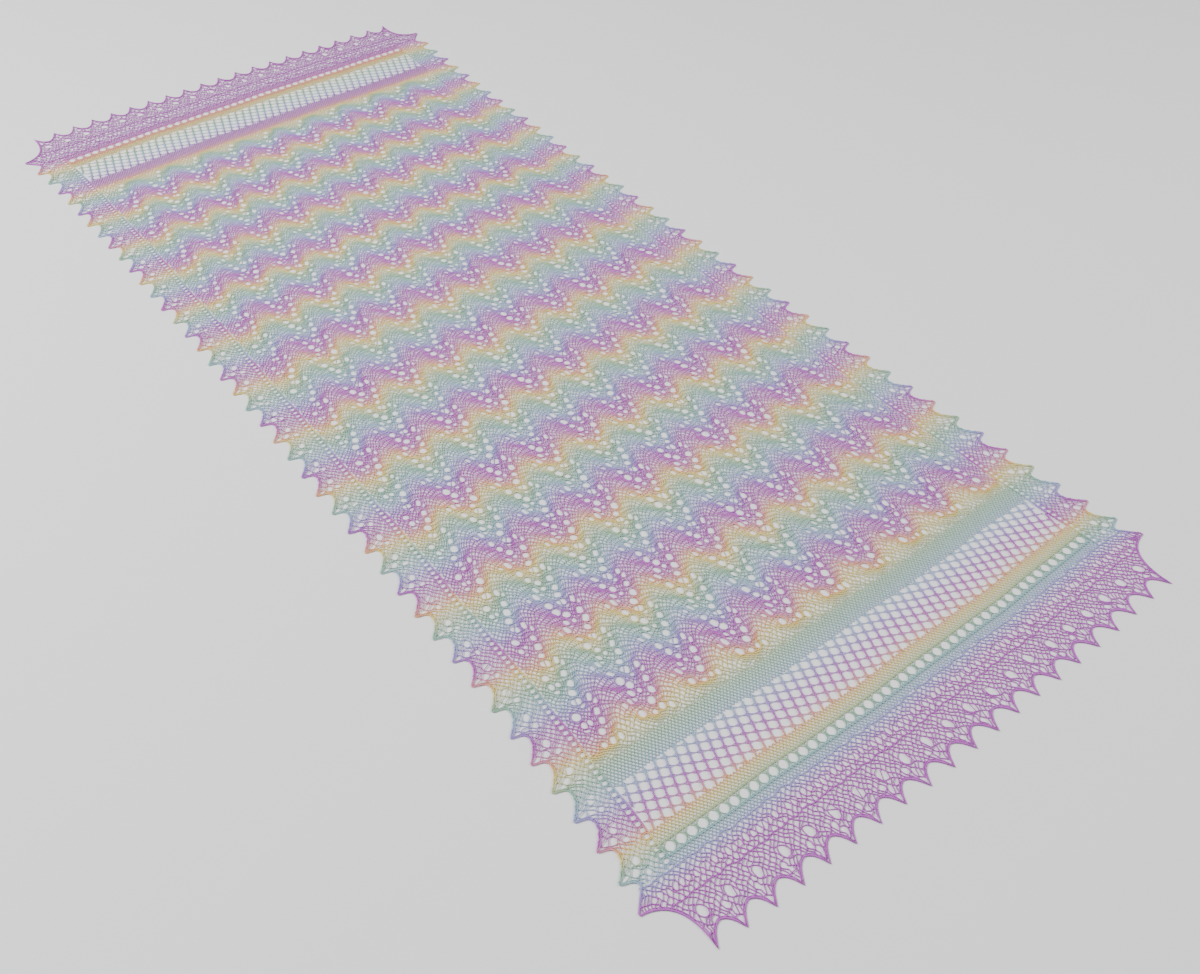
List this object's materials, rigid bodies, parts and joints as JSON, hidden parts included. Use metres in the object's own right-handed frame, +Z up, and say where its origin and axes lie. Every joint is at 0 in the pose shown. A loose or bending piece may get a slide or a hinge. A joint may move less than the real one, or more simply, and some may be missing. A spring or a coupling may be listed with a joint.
{
  "type": "lace shawl",
  "caption": "Long knitted lace stole laid out flat, with a wave-lace centre, eyelet and trellis borders and a toothed edging all round.",
  "frame": {"origin": "on the surface the stole lies on, below the middle of its outline", "axes": "+Y along the stole from the near end to the far end, +X across it, +Z up from the surface"},
  "size_m": [0.7194, 1.68, 0.002],
  "materials": {
    "centre_lace": "soft lace-weight wool, space-dyed in pastel waves",
    "border_lace": "soft lace-weight wool, space-dyed in pastel bands",
    "end_edging_lace": "soft lace-weight wool, orchid",
    "side_edging_lace": "soft lace-weight wool, space-dyed in pastel bands"
  },
  "bodies": {
    "root": {"centre_panel": "centre_lace", "near_border": "border_lace", "far_border": "border_lace", "near_edging": "end_edging_lace", "far_edging": "end_edging_lace", "left_edging": "side_edging_lace", "right_edging": "side_edging_lace"}
  },
  "joints": []
}
